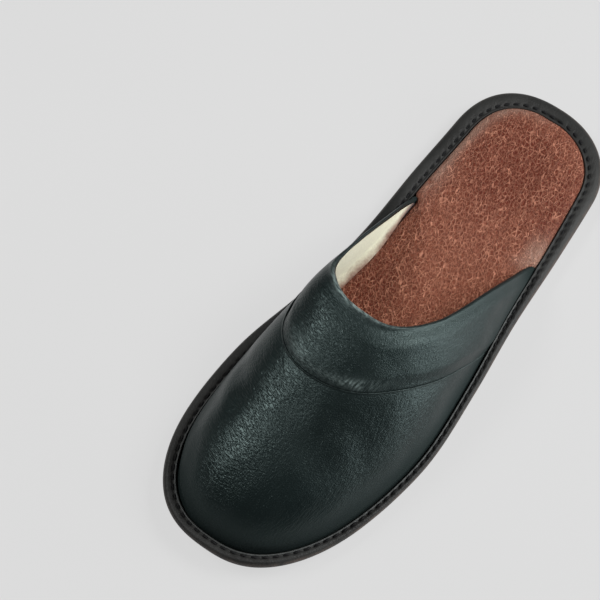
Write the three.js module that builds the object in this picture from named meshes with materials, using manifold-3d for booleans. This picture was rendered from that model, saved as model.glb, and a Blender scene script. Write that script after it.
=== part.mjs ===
// Backless leather mule slipper for the left foot, European size 42.
// Millimetres. The shape is worked out with x from the back of the heel to the toe, y to the outer
// side of the foot and z up from the floor. The finished group is centred over the middle of its box.

import * as THREE from "three";
import { mergeVertices } from "three/addons/utils/BufferGeometryUtils.js";
import Module from "manifold-3d";

const wasm = await Module();
wasm.setup();

// Driving dimensions of the sole unit
const soleLength = 280;
const heelSoleThickness = 5.5;
const foreSoleThickness = 4.5;
const wedgeFrom = 60;
const wedgeTo = 150;
const toeSpring = 4.5;
const toeSpringFrom = 215;
const archRelief = 1.3;
const archFrom = 84;
const archTo = 142;
const archRamp = 24;
const gap = 0.3;

// Half widths of the sole, either side of a gently swung centre line
const soleWidths = [
  { at: 0, medial: 36, lateral: 38 },
  { at: 30, medial: 36, lateral: 41 },
  { at: 70, medial: 38, lateral: 43.5 },
  { at: 110, medial: 39, lateral: 45.5 },
  { at: 150, medial: 43, lateral: 50 },
  { at: 190, medial: 50, lateral: 53 },
  { at: 230, medial: 50, lateral: 48.5 },
  { at: 280, medial: 47, lateral: 42 },
];
const heelRound = { reach: 36.5, power: 2.3 };
const toeRound = { reach: 70, power: 2.5 };
const toeSwing = 11.5;

// How far the fold of the rand lies inside the edge of the sole
const foldInsets = [
  { at: 0, medial: 9.5, lateral: 9.5 },
  { at: 70, medial: 8.5, lateral: 6.5 },
  { at: 130, medial: 7.5, lateral: 4.5 },
  { at: 200, medial: 7, lateral: 4 },
  { at: 274, medial: 5.5, lateral: 5.5 },
];

// The last: height above the sole, fullness of the arch across, and lean of its ridge to the inner side
const lastSections = [
  { at: 60, height: 58, fullness: 2.2, lean: 3 },
  { at: 100, height: 59, fullness: 2.3, lean: 8 },
  { at: 148, height: 61, fullness: 2.4, lean: 12.5 },
  { at: 180, height: 52, fullness: 2.3, lean: 7.5 },
  { at: 210, height: 42.5, fullness: 2.2, lean: 3.5 },
  { at: 240, height: 34, fullness: 2.25, lean: 1.5 },
  { at: 274, height: 24.5, fullness: 2.3, lean: 0 },
];
const toeBox = { reach: 42, power: 2.25 };

// Collar edge and cross seam: distance from the heel at each angle round the arch,
// counted from the inner side of the foot over the instep to the outer side
const edgeLines = [
  { angle: 0, collar: 79, seam: 126.5 },
  { angle: 15, collar: 93, seam: 145 },
  { angle: 30, collar: 114, seam: 162 },
  { angle: 50, collar: 146, seam: 183.5 },
  { angle: 70, collar: 159.5, seam: 196 },
  { angle: 90, collar: 165.5, seam: 199.5 },
  { angle: 110, collar: 162.5, seam: 194 },
  { angle: 130, collar: 146.5, seam: 180 },
  { angle: 150, collar: 113, seam: 162 },
  { angle: 165, collar: 93, seam: 144 },
  { angle: 180, collar: 78, seam: 126 },
];

// Leather thicknesses
const vampWall = 2.4;
const bandRecess = 1.2;
const bandGap = 0.42;
const bandProud = 0.6;
const bandFoot = 0.1;
const bandSwell = 0.35;
const edgeRounding = 0.4;

// Side of the sole: inset from the outline at each share of its thickness, from tread to deck
const soleSide = [
  { share: 0, inset: 3.4 },
  { share: 0.18, inset: 1.7 },
  { share: 0.6, inset: 0.7 },
  { share: 0.88, inset: 0.5 },
  { share: 1, inset: 0.9 },
];

// Rand, the stitched strip round the shoe. Each row of its section lies at a share of the way from
// the outer edge to the foot of the fold, less a set-back, and at a height above the deck.
const randHeight = 4.6;
const foldWidth = 1.6;
const randSection = [
  { share: 1, setBack: 0, up: gap },
  { share: 1, setBack: 0, up: randHeight - 0.5 },
  { share: 1, setBack: 0.4, up: randHeight + 0.3 },
  { share: 1, setBack: foldWidth * 0.7, up: randHeight + 0.1 },
  { share: 1, setBack: foldWidth, up: randHeight - 0.6 },
  { share: 0.75, setBack: foldWidth * 0.75, up: randHeight - 0.25 },
  { share: 0.5, setBack: foldWidth * 0.5, up: randHeight },
  { share: 0.28, setBack: foldWidth * 0.28, up: randHeight - 0.4 },
  { share: 0.1, setBack: foldWidth * 0.1, up: randHeight - 1.4 },
  { share: 0, setBack: 0, up: randHeight - 2.8 },
  { share: 0, setBack: -0.35, up: gap },
];

// Insole pad: inset from its own edge and height above the deck, from its foot over the rolled edge
const padSection = [
  { inset: 0.3, up: gap },
  { inset: 0, up: 0.9 },
  { inset: 0, up: 3.8 },
  { inset: 0.7, up: 5.5 },
  { inset: 2.4, up: 6.6 },
  { inset: 5.5, up: 7 },
  { inset: 13, up: 7.6 },
];
const vampLapFrom = 69;
const vampLapTo = 77;

// Tread grooves across the sole
const groove = { width: 2.6, depth: 1.2, border: 9.5 };
const grooveRows = [
  { from: 18, to: 66, count: 5 },
  { from: 156, to: 222, count: 7 },
];

// Mesh fineness
const outlineSteps = 48;
const archSteps = 28;
const bandSteps = 7;
const vampSteps = 20;

// Smooth curve through one column of a table
function along(rows, key, column, at) {
  let k = 0;
  while (k < rows.length - 2 && at > rows[k + 1][key]) k += 1;
  const slope = (i) => {
    const a = rows[Math.max(i - 1, 0)];
    const b = rows[Math.min(i + 1, rows.length - 1)];
    return (b[column] - a[column]) / (b[key] - a[key]);
  };
  const span = rows[k + 1][key] - rows[k][key];
  const t = THREE.MathUtils.clamp((at - rows[k][key]) / span, 0, 1);
  const rise = rows[k + 1][column] - rows[k][column];
  const bend = (t - 1) * ((t - 1) * span * slope(k) + t * span * slope(k + 1));
  return rows[k][column] + rise * t * t * (3 - 2 * t) + t * bend;
}

// One quarter of a superellipse, from 1 where it starts to 0 where it ends
function roundOff(t, power) {
  return (1 - THREE.MathUtils.clamp(t, 0, 1) ** power) ** (1 / power);
}

// Outline of the sole
function halfWidth(x, side, inset) {
  const widest = along(soleWidths, "at", side < 0 ? "medial" : "lateral", x) - inset;
  const heel = roundOff((heelRound.reach - x) / (heelRound.reach - inset), heelRound.power);
  const toeStart = soleLength - toeRound.reach;
  const toe = roundOff((x - toeStart) / (toeRound.reach - inset), toeRound.power);
  return widest * heel * toe;
}

function outlineY(x, side, inset) {
  return -toeSwing * (x / soleLength) ** 2 + side * halfWidth(x, side, inset);
}

function foldInset(x, side) {
  return along(foldInsets, "at", side < 0 ? "medial" : "lateral", x);
}

// Heights of the sole
function springAt(x) {
  return toeSpring * THREE.MathUtils.clamp((x - toeSpringFrom) / (soleLength - toeSpringFrom), 0, 1) ** 2;
}

function treadZ(x) {
  const rise = THREE.MathUtils.smoothstep(x, archFrom, archFrom + archRamp);
  const fall = THREE.MathUtils.smoothstep(x, archTo - archRamp, archTo);
  return archRelief * (rise - fall) + springAt(x);
}

function deckZ(x) {
  const wedge = THREE.MathUtils.smoothstep(x, wedgeFrom, wedgeTo);
  return THREE.MathUtils.lerp(heelSoleThickness, foreSoleThickness, wedge) + springAt(x);
}

// A ring of points at one inset, from the heel along the inner side to the toe and back
function ringAround(insetAt, heightAt) {
  const points = [];
  for (let k = 0; k < 2 * outlineSteps; k += 1) {
    const side = k <= outlineSteps ? -1 : 1;
    const first = insetAt(0, side);
    const last = soleLength - insetAt(soleLength, side);
    const turn = (Math.PI * k) / outlineSteps;
    const x = first + ((last - first) * (1 - Math.cos(turn))) / 2;
    points.push(new THREE.Vector3(x, outlineY(x, side, insetAt(x, side)), heightAt(x)));
  }
  return points;
}

// Closed body from a row of loops that all have the same number of points.
// A closed row is a hoop. An open row is capped at each end by rungs from side to side.
function bodyFromLoops(loops, closed) {
  const size = loops[0].length;
  const positions = loops.flat().flatMap((point) => point.toArray());
  const index = [];
  const quad = (a, b, c, d) => index.push(a, b, c, a, c, d);
  const rows = closed ? loops.length : loops.length - 1;
  for (let i = 0; i < rows; i += 1) {
    const next = (i + 1) % loops.length;
    for (let j = 0; j < size; j += 1) {
      const after = (j + 1) % size;
      quad(i * size + j, i * size + after, next * size + after, next * size + j);
    }
  }
  if (!closed) {
    const end = (loops.length - 1) * size;
    for (let j = 0; j < size / 2 - 1; j += 1) {
      const across = size - 1 - j;
      quad(j, across, across - 1, j + 1);
      quad(end + j, end + j + 1, end + across - 1, end + across);
    }
  }
  return solidFrom(positions, index);
}

// Merges shared corners, drops faces of no area and turns the body the right way out
function solidFrom(positions, index) {
  const geometry = new THREE.BufferGeometry();
  geometry.setAttribute("position", new THREE.Float32BufferAttribute(positions, 3));
  geometry.setIndex(index);
  const merged = mergeVertices(geometry, 1e-3);
  const faces = [];
  for (let i = 0; i < merged.index.count; i += 3) {
    const [a, b, c] = merged.index.array.slice(i, i + 3);
    if (a !== b && b !== c && c !== a) faces.push(a, b, c);
  }
  const asMesh = (triangles) =>
    new wasm.Mesh({
      numProp: 3,
      vertProperties: merged.attributes.position.array,
      triVerts: new Uint32Array(triangles),
    });
  const solid = new wasm.Manifold(asMesh(faces));
  return solid.volume() > 0 ? solid : new wasm.Manifold(asMesh(faces.reverse()));
}

function geometryOf(solid) {
  const mesh = solid.getMesh();
  const geometry = new THREE.BufferGeometry();
  geometry.setAttribute("position", new THREE.BufferAttribute(mesh.vertProperties, 3));
  geometry.setIndex(new THREE.BufferAttribute(mesh.triVerts, 1));
  geometry.computeVertexNormals();
  return geometry;
}

// Outsole: side steps in below its widest line, flat tread under heel and ball, grooves across
function makeOutsole() {
  const rings = soleSide.map((row) =>
    ringAround(
      () => row.inset,
      (x) => THREE.MathUtils.lerp(treadZ(x), deckZ(x), row.share),
    ),
  );
  let sole = capAcross(rings);
  for (const row of grooveRows) {
    for (let i = 0; i < row.count; i += 1) {
      const x = THREE.MathUtils.lerp(row.from, row.to, i / (row.count - 1));
      sole = sole.subtract(grooveCutter(x));
    }
  }
  return geometryOf(sole);
}

// Rings stacked from bottom to top, closed below and above by rungs across the sole
function capAcross(rings) {
  const turned = rings.map((ring) => [...ring.slice(1), ring[0]]);
  return bodyFromLoops(turned, false);
}

function grooveCutter(x) {
  const low = outlineY(x, -1, groove.border);
  const high = outlineY(x, 1, groove.border);
  const box = new THREE.BoxGeometry(groove.width, high - low, 2 * groove.depth);
  box.translate(x, (low + high) / 2, springAt(x));
  box.deleteAttribute("normal");
  box.deleteAttribute("uv");
  const merged = mergeVertices(box);
  return solidFrom(Array.from(merged.attributes.position.array), Array.from(merged.index.array));
}

// Rand: a hoop whose section has a fold against the upper, a stitch groove and a rolled outer edge
function makeRand() {
  const rings = randSection.map((row) =>
    ringAround(
      (x, side) => row.share * foldInset(x, side) - row.setBack,
      (x) => deckZ(x) + row.up,
    ),
  );
  const loops = rings[0].map((_, k) => rings.map((ring) => ring[k]));
  return geometryOf(bodyFromLoops(loops, true));
}

// Insole: a pad with rolled edges that fills the heel seat and runs on inside the upper
function makeInsole() {
  const edge = (x, side) => {
    const lap = THREE.MathUtils.smoothstep(x, vampLapFrom, vampLapTo);
    return foldInset(x, side) + gap + lap * (vampWall + 2 * gap);
  };
  const rings = padSection.map((row) =>
    ringAround(
      (x, side) => edge(x, side) + row.inset,
      (x) => deckZ(x) + row.up,
    ),
  );
  return geometryOf(capAcross(rings));
}

// Surface of the last at a place along the foot and an angle round the arch, or a form inside it
function lastPoint(x, angle, inset) {
  const inner = outlineY(x, -1, foldInset(x, -1) + gap + inset);
  const outer = outlineY(x, 1, foldInset(x, 1) + gap + inset);
  const fullness = along(lastSections, "at", "fullness", x);
  const cosine = Math.cos(angle);
  const across = Math.sign(cosine) * Math.abs(cosine) ** (2 / fullness);
  const up = Math.abs(Math.sin(angle)) ** (2 / fullness);
  const tipX = toeTip(inset);
  const toe = roundOff((x - (tipX - toeBox.reach)) / toeBox.reach, toeBox.power);
  const height = (along(lastSections, "at", "height", x) - inset) * toe;
  const lean = along(lastSections, "at", "lean", x) * up * up * toe;
  const y = (inner + outer) / 2 - ((outer - inner) / 2) * across - lean;
  return new THREE.Vector3(x, y, deckZ(x) + gap + height * up);
}

function toeTip(inset) {
  return soleLength - foldInset(soleLength, 1) - gap - inset;
}

function edgeLine(column, angle) {
  return along(edgeLines, "angle", column, THREE.MathUtils.radToDeg(angle));
}

// A section through the wall: the outer form one way and the inner form back
function wallLoop(xAt, outerInset, innerInset) {
  const angles = Array.from({ length: archSteps + 1 }, (_, j) => (Math.PI * j) / archSteps);
  const outer = angles.map((angle) => lastPoint(xAt(angle, outerInset(angle)), angle, outerInset(angle)));
  const inner = angles.map((angle) => lastPoint(xAt(angle, innerInset), angle, innerInset));
  return [...outer, ...inner.reverse()];
}

// Upper: one hollow wall, open at the collar and underneath, stepped in where the band covers it
function makeUpper() {
  const recess = () => bandRecess;
  const flush = () => 0;
  const loops = [];
  const collarEdge = (angle) => edgeLine("collar", angle);
  const seamEdge = (angle) => edgeLine("seam", angle);
  loops.push(wallLoop(collarEdge, () => bandRecess + edgeRounding, vampWall - edgeRounding));
  for (let i = 0; i <= bandSteps; i += 1) {
    const share = i / bandSteps;
    const place = (angle) =>
      THREE.MathUtils.lerp(collarEdge(angle) + edgeRounding, seamEdge(angle) - gap, share);
    loops.push(wallLoop(place, recess, vampWall));
  }
  for (let i = 0; i <= vampSteps; i += 1) {
    const share = Math.sin(((Math.PI / 2) * i) / vampSteps);
    const place = (angle, inset) => THREE.MathUtils.lerp(seamEdge(angle), toeTip(inset), share);
    loops.push(wallLoop(place, flush, vampWall));
  }
  return geometryOf(bodyFromLoops(loops, false));
}

// Collar band: the padded strip over the instep, from the collar edge to the cross seam
function makeCollarBand() {
  const inside = bandRecess - bandGap;
  const proud = (angle) => -bandProud * THREE.MathUtils.smoothstep(Math.sin(angle), bandFoot, bandSwell);
  const loops = [];
  const rows = bandSteps + 2;
  for (let i = 0; i <= rows; i += 1) {
    const share = i / rows;
    const atEnd = i === 0 || i === rows;
    const place = (angle) =>
      THREE.MathUtils.lerp(edgeLine("collar", angle), edgeLine("seam", angle) - 2 * gap, share);
    const outer = atEnd ? (angle) => proud(angle) + edgeRounding : proud;
    loops.push(wallLoop(place, outer, inside));
  }
  return geometryOf(bodyFromLoops(loops, false));
}

// Materials
const greenBlackLeather = new THREE.MeshStandardMaterial({ color: 0x1b2422, roughness: 0.42, metalness: 0 });
const bandLeather = new THREE.MeshStandardMaterial({ color: 0x1e2826, roughness: 0.4, metalness: 0 });
const randLeather = new THREE.MeshStandardMaterial({ color: 0x2c3130, roughness: 0.5, metalness: 0 });
const brownLeather = new THREE.MeshStandardMaterial({ color: 0x7c4736, roughness: 0.55, metalness: 0 });
const soleRubber = new THREE.MeshStandardMaterial({ color: 0x241f1c, roughness: 0.7, metalness: 0 });

function named(name, geometry, material) {
  const mesh = new THREE.Mesh(geometry, material);
  mesh.name = name;
  return mesh;
}

const slipper = new THREE.Group();
slipper.add(
  named("outsole", makeOutsole(), soleRubber),
  named("rand", makeRand(), randLeather),
  named("insole", makeInsole(), brownLeather),
  named("upper", makeUpper(), greenBlackLeather),
  named("collar_band", makeCollarBand(), bandLeather),
);

// The origin is on the floor under the middle of the shoe's box
const box = new THREE.Box3().setFromObject(slipper);
slipper.position.set(-(box.min.x + box.max.x) / 2, -(box.min.y + box.max.y) / 2, -box.min.z);

export default slipper;
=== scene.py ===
"""Backless leather mule slipper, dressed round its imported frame.

The shoe's own sizes are millimetres: x from the back of the heel to the toe, y to the outer side of
the foot and z up from the floor. Finished pieces are in metres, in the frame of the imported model.
"""

import math

import bmesh
import bpy
import numpy as np
from mathutils import Matrix, Vector


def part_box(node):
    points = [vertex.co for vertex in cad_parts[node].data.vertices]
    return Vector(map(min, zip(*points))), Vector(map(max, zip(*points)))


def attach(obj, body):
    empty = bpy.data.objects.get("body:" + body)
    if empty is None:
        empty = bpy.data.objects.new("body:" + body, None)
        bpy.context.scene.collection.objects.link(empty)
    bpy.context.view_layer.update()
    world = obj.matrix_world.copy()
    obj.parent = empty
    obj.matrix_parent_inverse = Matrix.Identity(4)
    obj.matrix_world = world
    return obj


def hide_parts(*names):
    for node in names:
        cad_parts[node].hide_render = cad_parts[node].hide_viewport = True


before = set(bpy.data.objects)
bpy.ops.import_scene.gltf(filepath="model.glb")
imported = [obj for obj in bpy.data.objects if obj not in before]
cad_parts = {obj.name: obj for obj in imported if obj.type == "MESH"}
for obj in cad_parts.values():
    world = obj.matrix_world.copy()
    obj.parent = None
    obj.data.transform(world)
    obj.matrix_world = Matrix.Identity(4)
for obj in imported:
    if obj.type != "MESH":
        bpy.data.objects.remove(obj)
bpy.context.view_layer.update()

bl_info = {
    "name": "Leather mule slipper",
    "version": (1, 0, 0),
    "blender": (4, 5, 0),
    "location": "3D View > Sidebar > Slipper",
    "description": "Builds a backless leather slipper piece by piece round its packed frame",
    "category": "Add Mesh",
}

MM = 0.001

# ---------------------------------------------------------------- form of the sole and the last

SOLE_LENGTH = 280.0
SOLE_WIDTHS = {
    -1: ((0, 36), (30, 36), (70, 38), (110, 39), (150, 43), (190, 50), (230, 50), (280, 47)),
    1: ((0, 38), (30, 41), (70, 43.5), (110, 45.5), (150, 50), (190, 53), (230, 48.5), (280, 42)),
}
HEEL_ROUND = (36.5, 2.3)
TOE_ROUND = (70.0, 2.5)
TOE_SWING = 11.5
FOLD_INSETS = {
    -1: ((0, 9.5), (70, 8.5), (130, 7.5), (200, 7), (274, 5.5)),
    1: ((0, 9.5), (70, 6.5), (130, 4.5), (200, 4), (274, 5.5)),
}
LAST_HEIGHT = ((60, 58), (100, 59), (148, 61), (180, 52), (210, 42.5), (240, 34), (274, 24.5))
LAST_FULLNESS = ((60, 2.2), (100, 2.3), (148, 2.4), (180, 2.3), (210, 2.2), (240, 2.25), (274, 2.3))
LAST_LEAN = ((60, 3), (100, 8), (148, 12.5), (180, 7.5), (210, 3.5), (240, 1.5), (274, 0))
TOE_BOX = (42.0, 2.25)
EDGE_ANGLES = (0, 15, 30, 50, 70, 90, 110, 130, 150, 165, 180)
COLLAR_LINE = tuple(zip(EDGE_ANGLES, (79, 93, 114, 146, 159.5, 165.5, 162.5, 146.5, 113, 93, 78)))
SEAM_LINE = tuple(zip(EDGE_ANGLES, (126.5, 145, 162, 183.5, 196, 199.5, 194, 180, 162, 144, 126)))
HEEL_SOLE, FORE_SOLE = 5.5, 4.5
TOE_SPRING, SPRING_FROM = 4.5, 215.0
ARCH = (1.3, 84.0, 142.0, 24.0)
GAP = 0.3
WALL, LINING = 2.4, 0.4
LAP = (79.5, 84.5)
GROOVE = {"half": 1.3, "depth": 1.2, "border": 9.5}
GROOVES = [18 + 12 * i for i in range(5)] + [156 + 11 * i for i in range(7)]


def spline(rows, at):
    """Smooth curve through a short table of (place, value) rows."""
    places, values = (np.array(column, float) for column in zip(*rows))
    slopes = np.empty_like(values)
    slopes[1:-1] = (values[2:] - values[:-2]) / (places[2:] - places[:-2])
    slopes[0] = (values[1] - values[0]) / (places[1] - places[0])
    slopes[-1] = (values[-1] - values[-2]) / (places[-1] - places[-2])
    at = np.asarray(at, float)
    k = np.clip(np.searchsorted(places, at, side="right") - 1, 0, len(places) - 2)
    span = places[k + 1] - places[k]
    t = np.clip((at - places[k]) / span, 0, 1)
    bend = (t - 1) * ((t - 1) * span * slopes[k] + t * span * slopes[k + 1])
    return values[k] + (values[k + 1] - values[k]) * t * t * (3 - 2 * t) + t * bend


def smoothstep(at, low, high):
    """0 below low, 1 above high, and an even turn between them."""
    t = np.clip((at - low) / (high - low), 0, 1)
    return t * t * (3 - 2 * t)


def hump(at, middle, width):
    """Soft bell of height 1."""
    return np.exp(-(((at - middle) / width) ** 2))


def round_off(t, power):
    """One quarter of a superellipse, from 1 where it starts to 0 where it ends."""
    return (1 - np.clip(t, 0, 1) ** power) ** (1 / power)


def by_side(tables, x, side):
    """Reads the inner or the outer side's table, by the sign of side."""
    return np.where(np.asarray(side) < 0, spline(tables[-1], x), spline(tables[1], x))


def outline_y(x, side, inset):
    """Edge of the sole at x, at an inset from its widest line."""
    heel = round_off((HEEL_ROUND[0] - x) / (HEEL_ROUND[0] - inset), HEEL_ROUND[1])
    toe = round_off((x - (SOLE_LENGTH - TOE_ROUND[0])) / (TOE_ROUND[0] - inset), TOE_ROUND[1])
    half = (by_side(SOLE_WIDTHS, x, side) - inset) * heel * toe
    return -TOE_SWING * (x / SOLE_LENGTH) ** 2 + np.asarray(side) * half


def fold_inset(x, side):
    return by_side(FOLD_INSETS, x, side)


def spring_at(x):
    return TOE_SPRING * np.clip((x - SPRING_FROM) / (SOLE_LENGTH - SPRING_FROM), 0, 1) ** 2


def tread_z(x):
    relief, start, stop, ramp = ARCH
    rise = smoothstep(x, start, start + ramp) - smoothstep(x, stop - ramp, stop)
    return relief * rise + spring_at(x)


def deck_z(x):
    return HEEL_SOLE + (FORE_SOLE - HEEL_SOLE) * smoothstep(x, 60, 150) + spring_at(x)


def toe_tip(inset):
    return SOLE_LENGTH - fold_inset(SOLE_LENGTH, 1) - GAP - inset


def last_point(x, angle, inset):
    """Point on the last, or on a form inside it, at a place along the foot and an angle round it."""
    inner = outline_y(x, -1, fold_inset(x, -1) + GAP + inset)
    outer = outline_y(x, 1, fold_inset(x, 1) + GAP + inset)
    power = 2 / spline(LAST_FULLNESS, x)
    cosine = np.cos(angle)
    across = np.sign(cosine) * np.abs(cosine) ** power
    up = np.abs(np.sin(angle)) ** power
    toe = round_off((x - (toe_tip(inset) - TOE_BOX[0])) / TOE_BOX[0], TOE_BOX[1])
    y = (inner + outer) / 2 - (outer - inner) / 2 * across - spline(LAST_LEAN, x) * up * up * toe
    z = deck_z(x) + GAP + (spline(LAST_HEIGHT, x) - inset) * toe * up
    return np.stack(np.broadcast_arrays(x, y, z), -1)


def unit(vectors):
    return vectors / np.maximum(np.linalg.norm(vectors, axis=-1, keepdims=True), 1e-9)


def along_last(x, angle):
    """How the last's surface runs for each millimetre along the foot."""
    step = 0.05
    return (last_point(x + step, angle, 0.0) - last_point(x - step, angle, 0.0)) / (2 * step)


def round_last(x, angle):
    """How the last's surface runs for each radian round the arch."""
    step = 0.002
    low, high = np.clip(angle - step, 0, np.pi), np.clip(angle + step, 0, np.pi)
    return (last_point(x, high, 0.0) - last_point(x, low, 0.0)) / (high - low)[..., None]


def last_normal(x, angle):
    return unit(np.cross(along_last(x, angle), round_last(x, angle)))


class EdgeLine:
    """The collar edge or the cross seam, with how far one millimetre of x takes a point from it."""

    def __init__(self, table, angles):
        self.x = spline(table, np.degrees(angles))
        step = 0.01
        low, high = np.clip(angles - step, 0, np.pi), np.clip(angles + step, 0, np.pi)
        before = last_point(spline(table, np.degrees(low)), low, 0.0)
        after = last_point(spline(table, np.degrees(high)), high, 0.0)
        run = unit(after - before)
        forward = along_last(self.x, angles)
        across = forward - (forward * run).sum(-1, keepdims=True) * run
        self.reach = np.linalg.norm(across, axis=-1)
        self.back = unit(np.cross(last_normal(self.x, angles), run))


def arch_angles(count):
    """Angles round the arch, closer together at its two feet."""
    share = np.linspace(0, 1, count)
    return np.pi * (share - 0.115 * np.sin(2 * np.pi * share))


def run_along(points):
    """Distance along a line from its first point to each of its points."""
    return np.concatenate([[0], np.cumsum(np.linalg.norm(np.diff(points, axis=0), axis=1))])


def ring_at(turns, inset_of, height_of):
    """Ring of points round the shoe, from the heel by the inner side to the toe and back."""
    side = np.where(turns <= np.pi, -1, 1)
    first = inset_of(np.array(0.0), side)
    last = SOLE_LENGTH - inset_of(np.array(SOLE_LENGTH), side)
    x = first + (last - first) * (1 - np.cos(turns)) / 2
    y = outline_y(x, side, inset_of(x, side))
    return np.stack(np.broadcast_arrays(x, y, height_of(x, side)), -1)


# ---------------------------------------------------------------- meshes

def frame_shift():
    """From the shoe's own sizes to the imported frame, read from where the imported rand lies."""
    low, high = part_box("rand")
    widest = outline_y(np.linspace(0, SOLE_LENGTH, 4001), 1, 0.0).max()
    return np.array([low.x / MM, high.y / MM - widest, 0.0])


SHIFT = frame_shift()
SHELL_SHARP = 70


def grid_quads(rows, columns, start=0, wrap_rows=False, wrap_columns=False):
    """Faces of a grid of points that are numbered row by row."""
    i, j = np.meshgrid(
        np.arange(rows if wrap_rows else rows - 1),
        np.arange(columns if wrap_columns else columns - 1),
        indexing="ij",
    )
    i, j = i.ravel(), j.ravel()
    ni, nj = (i + 1) % rows, (j + 1) % columns
    corners = (i * columns + j, i * columns + nj, ni * columns + nj, ni * columns + j)
    return start + np.stack(corners, 1)


def linked(name, data):
    """A new object in the scene."""
    made = bpy.data.objects.new(name, data)
    bpy.context.scene.collection.objects.link(made)
    return made


def make_piece(name, points, quads, sharp, marks=None):
    """One closed piece: its points merged, its faces turned outwards and smooth up to the sharp angle."""
    mesh = bpy.data.meshes.new(name)
    points = (np.asarray(points).reshape(-1, 3) + SHIFT) * MM
    mesh.vertices.add(len(points))
    mesh.vertices.foreach_set("co", points.astype(np.float32).ravel())
    mesh.loops.add(quads.size)
    mesh.loops.foreach_set("vertex_index", quads.astype(np.int32).ravel())
    mesh.polygons.add(len(quads))
    mesh.polygons.foreach_set("loop_start", np.arange(0, quads.size, 4, dtype=np.int32))
    mesh.update(calc_edges=True)
    for mark, values in (marks or {}).items():
        layer = mesh.attributes.new(mark, "FLOAT", "POINT")
        layer.data.foreach_set("value", np.asarray(values, np.float32).ravel())
    shape = bmesh.new()
    shape.from_mesh(mesh)
    bmesh.ops.remove_doubles(shape, verts=shape.verts, dist=2e-6)
    bmesh.ops.dissolve_degenerate(shape, edges=shape.edges, dist=1e-6)
    bmesh.ops.recalc_face_normals(shape, faces=shape.faces)
    if shape.calc_volume(signed=True) < 0:
        bmesh.ops.reverse_faces(shape, faces=shape.faces)
    open_edges = sum(1 for edge in shape.edges if not edge.is_manifold)
    shape.to_mesh(mesh)
    shape.free()
    if open_edges:
        raise RuntimeError(f"{name} is not closed: {open_edges} loose edges")
    mesh.shade_smooth()
    mesh.set_sharp_from_angle(angle=math.radians(sharp))
    return linked(name, mesh)


def shell_of(name, outer, inner, marks):
    """Closed piece between two grids of points of the same size."""
    rows, columns = outer.shape[:2]
    size = rows * columns
    number = np.arange(size).reshape(rows, columns)
    quads = [grid_quads(rows, columns), grid_quads(rows, columns, size)[:, ::-1]]
    for line in (number[0], number[-1][::-1], number[::-1, 0], number[:, -1]):
        quads.append(np.stack([line[1:], line[:-1], line[:-1] + size, line[1:] + size], 1))
    points = np.concatenate([outer.reshape(-1, 3), inner.reshape(-1, 3)])
    doubled = {key: np.concatenate([np.ravel(v), np.ravel(v)]) for key, v in marks.items()}
    return make_piece(name, points, np.concatenate(quads), SHELL_SHARP, doubled)


def slab_of(name, wall, caps, sharp, marks=None):
    """Closed piece from a wall of rings and the two grids that close it."""
    points, quads, start = [], [], 0
    for grid in (wall, *caps):
        rows, columns = grid.shape[:2]
        quads.append(grid_quads(rows, columns, start, wrap_columns=grid is wall))
        points.append(grid.reshape(-1, 3))
        start += rows * columns
    return make_piece(name, np.concatenate(points), np.concatenate(quads), sharp, marks)


def finish_piece(piece, material, slot, *nodes):
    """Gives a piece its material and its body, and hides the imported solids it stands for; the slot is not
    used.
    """
    piece.data.materials.clear()
    piece.data.materials.append(material)
    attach(piece, "root")
    if nodes:
        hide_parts(*nodes)


# ---------------------------------------------------------------- nodes and finishes

def add_node(tree, kind, settings=None, inputs=None):
    """One node: its settings first, then the values or links of its sockets."""
    node = tree.nodes.new(kind)
    for key, value in (settings or {}).items():
        setattr(node, key, value)
    for key, value in (inputs or {}).items():
        if isinstance(key, int):
            socket = node.inputs[key]
        else:
            socket = next(s for s in node.inputs if s.name == key and s.enabled)
        if isinstance(value, bpy.types.NodeSocket):
            tree.links.new(value, socket)
        else:
            socket.default_value = value
    return node


class Wire:
    """A shader socket that takes part in Python arithmetic."""

    def __init__(self, finish, socket):
        self.finish, self.socket = finish, socket

    def math(self, operation, other, clamp=False):
        settings = {"operation": operation, "use_clamp": clamp}
        return self.finish.add("ShaderNodeMath", settings, {0: self, 1: other})

    def __add__(self, other):
        return self.math("ADD", other)

    def __sub__(self, other):
        return self.math("SUBTRACT", other)

    def __mul__(self, other):
        return self.math("MULTIPLY", other)

    def __truediv__(self, other):
        return self.math("DIVIDE", other)

    __radd__ = __add__
    __rmul__ = __mul__

    def __rsub__(self, other):
        return (self * -1.0).math("ADD", other)

    def clamped(self):
        return self.math("ADD", 0.0, clamp=True)

    def step(self, low, high, to_low=0.0, to_high=1.0):
        settings = {"interpolation_type": "SMOOTHSTEP"}
        inputs = {"Value": self, "From Min": low, "From Max": high, "To Min": to_low, "To Max": to_high}
        return self.finish.add("ShaderNodeMapRange", settings, inputs)


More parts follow.
